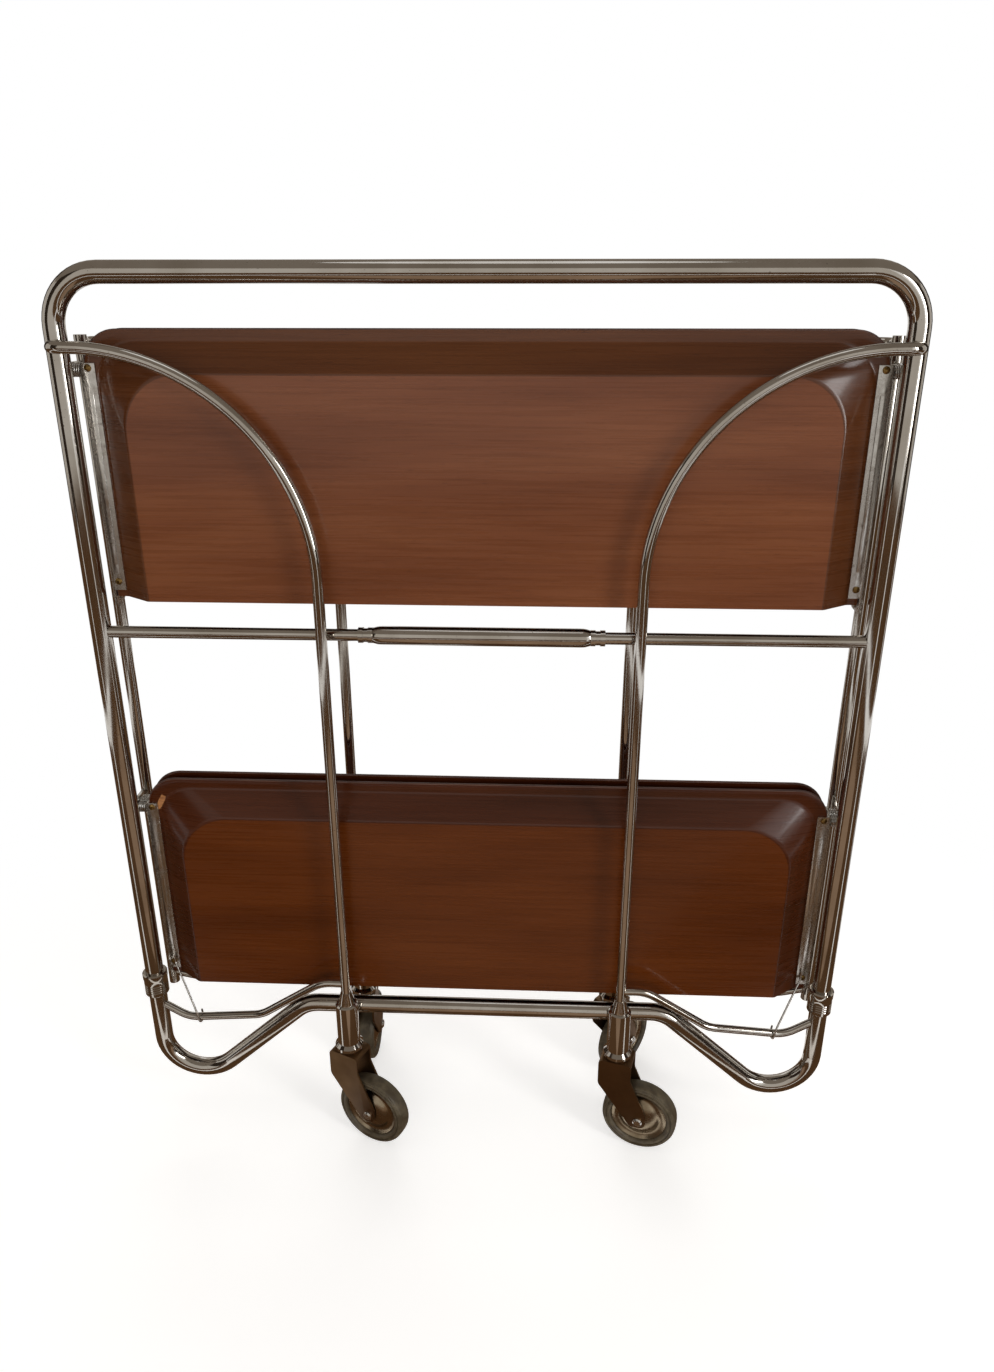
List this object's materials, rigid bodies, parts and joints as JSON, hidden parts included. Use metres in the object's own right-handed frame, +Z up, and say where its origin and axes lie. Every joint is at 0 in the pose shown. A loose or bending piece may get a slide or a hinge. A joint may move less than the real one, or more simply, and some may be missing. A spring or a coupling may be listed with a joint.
{
  "type": "folding tea trolley",
  "caption": "Folding two-tier serving trolley, folded flat: chrome tube frames on castors carry hinged wood-laminate half trays that open level as the frames part.",
  "frame": {"origin": "on the floor under the middle of the folded trolley", "axes": "+Z up, +X along the push handle, the loop frame on the -Y side"},
  "size_m": [0.717, 0.1908, 0.87],
  "materials": {
    "chrome_tube": "bright chrome plate",
    "zinc_steel": "zinc plated pressed steel",
    "brass_screw": "tarnished brass",
    "wood_laminate": "satin brown wood laminate",
    "castor_rubber": "worn grey-brown rubber",
    "wheel_disc": "dull pressed disc"
  },
  "bodies": {
    "front_frame": {"front_loop_tube": "chrome_tube", "loop_collars": "chrome_tube", "carry_bar": "chrome_tube", "grip_sleeve": "chrome_tube", "grip_ferrules": "chrome_tube", "front_left_leg": "chrome_tube", "front_right_leg": "chrome_tube", "front_left_stay": "chrome_tube", "front_right_stay": "chrome_tube", "front_castor_sockets": "chrome_tube", "front_pivot_lugs": "zinc_steel", "front_pivot_pins": "zinc_steel", "front_pivot_springs": "zinc_steel", "front_hook_wires": "zinc_steel"},
    "rear_frame": {"rear_left_post": "chrome_tube", "rear_right_post": "chrome_tube", "rear_tie_bar": "chrome_tube", "rear_left_leg": "chrome_tube", "rear_right_leg": "chrome_tube", "rear_left_stay": "chrome_tube", "rear_right_stay": "chrome_tube", "rear_castor_sockets": "chrome_tube", "rear_pivot_lugs": "zinc_steel", "rear_pivot_pins": "zinc_steel", "rear_pivot_springs": "zinc_steel", "rear_hook_wires": "zinc_steel"},
    "upper_front_tray": {"upper_front_tray_board": "wood_laminate", "upper_front_left_bracket": "zinc_steel", "upper_front_right_bracket": "zinc_steel", "upper_front_bracket_screws": "brass_screw", "upper_hinge_pins": "zinc_steel"},
    "upper_rear_tray": {"upper_rear_tray_board": "wood_laminate", "upper_rear_left_bracket": "zinc_steel", "upper_rear_right_bracket": "zinc_steel", "upper_rear_bracket_screws": "brass_screw"},
    "lower_front_tray": {"lower_front_tray_board": "wood_laminate", "lower_front_left_bracket": "zinc_steel", "lower_front_right_bracket": "zinc_steel", "lower_front_bracket_screws": "brass_screw", "lower_hinge_pins": "zinc_steel"},
    "lower_rear_tray": {"lower_rear_tray_board": "wood_laminate", "lower_rear_left_bracket": "zinc_steel", "lower_rear_right_bracket": "zinc_steel", "lower_rear_bracket_screws": "brass_screw"},
    "front_left_castor": {"front_left_castor_fork": "zinc_steel", "front_left_castor_axle": "zinc_steel"},
    "front_left_wheel": {"front_left_wheel_hub": "wheel_disc", "front_left_wheel_tyre": "castor_rubber"},
    "front_right_castor": {"front_right_castor_fork": "zinc_steel", "front_right_castor_axle": "zinc_steel"},
    "front_right_wheel": {"front_right_wheel_hub": "wheel_disc", "front_right_wheel_tyre": "castor_rubber"},
    "rear_left_castor": {"rear_left_castor_fork": "zinc_steel", "rear_left_castor_axle": "zinc_steel"},
    "rear_left_wheel": {"rear_left_wheel_hub": "wheel_disc", "rear_left_wheel_tyre": "castor_rubber"},
    "rear_right_castor": {"rear_right_castor_fork": "zinc_steel", "rear_right_castor_axle": "zinc_steel"},
    "rear_right_wheel": {"rear_right_wheel_hub": "wheel_disc", "rear_right_wheel_tyre": "castor_rubber"}
  },
  "joints": [
    {"name": "fold", "type": "hinge", "parent": "front_frame", "child": "upper_front_tray", "pos_m": [0, -0.02211, 0.785], "axis": [1, 0, 0], "range_deg": [0, 90]},
    {"name": "upper_centre_hinge", "type": "hinge", "parent": "upper_front_tray", "child": "upper_rear_tray", "pos_m": [0, -0.01611, 0.587], "axis": [1, 0, 0], "range_deg": [-180, 0]},
    {"name": "upper_rear_pivot", "type": "hinge", "parent": "upper_rear_tray", "child": "rear_frame", "pos_m": [0, -0.01011, 0.785], "axis": [1, 0, 0], "range_deg": [0, 90]},
    {"name": "lower_front_pivot", "type": "hinge", "parent": "front_frame", "child": "lower_front_tray", "pos_m": [0, -0.02211, 0.369], "axis": [1, 0, 0], "range_deg": [0, 90]},
    {"name": "lower_rear_pivot", "type": "hinge", "parent": "rear_frame", "child": "lower_rear_tray", "pos_m": [0, -0.01011, 0.369], "axis": [1, 0, 0], "range_deg": [-90, 0]},
    {"name": "front_left_swivel", "type": "hinge", "parent": "front_frame", "child": "front_left_castor", "pos_m": [-0.14, -0.06161, 0.109], "axis": [0, 0, 1], "continuous": true},
    {"name": "front_left_roll", "type": "hinge", "parent": "front_left_castor", "child": "front_left_wheel", "pos_m": [-0.11533, -0.07259, 0.039], "axis": [0.4067, 0.9135, 0], "continuous": true},
    {"name": "front_right_swivel", "type": "hinge", "parent": "front_frame", "child": "front_right_castor", "pos_m": [0.14, -0.06161, 0.109], "axis": [0, 0, 1], "continuous": true},
    {"name": "front_right_roll", "type": "hinge", "parent": "front_right_castor", "child": "front_right_wheel", "pos_m": [0.16595, -0.06905, 0.039], "axis": [0.2756, 0.9613, 0], "continuous": true},
    {"name": "rear_left_swivel", "type": "hinge", "parent": "rear_frame", "child": "rear_left_castor", "pos_m": [-0.14, 0.02939, 0.109], "axis": [0, 0, 1], "continuous": true},
    {"name": "rear_left_roll", "type": "hinge", "parent": "rear_left_castor", "child": "rear_left_wheel", "pos_m": [-0.14, 0.05639, 0.039], "axis": [-1, 0, 0], "continuous": true},
    {"name": "rear_right_swivel", "type": "hinge", "parent": "rear_frame", "child": "rear_right_castor", "pos_m": [0.14, 0.02939, 0.109], "axis": [0, 0, 1], "continuous": true},
    {"name": "rear_right_roll", "type": "hinge", "parent": "rear_right_castor", "child": "rear_right_wheel", "pos_m": [0.15736, 0.05008, 0.039], "axis": [-0.766, 0.6428, 0], "continuous": true}
  ],
  "couplings": [
    {"joint": "upper_centre_hinge", "follows": "fold", "ratio": -2},
    {"joint": "upper_rear_pivot", "follows": "fold", "ratio": 1},
    {"joint": "lower_front_pivot", "follows": "fold", "ratio": 1},
    {"joint": "lower_rear_pivot", "follows": "fold", "ratio": -1}
  ]
}
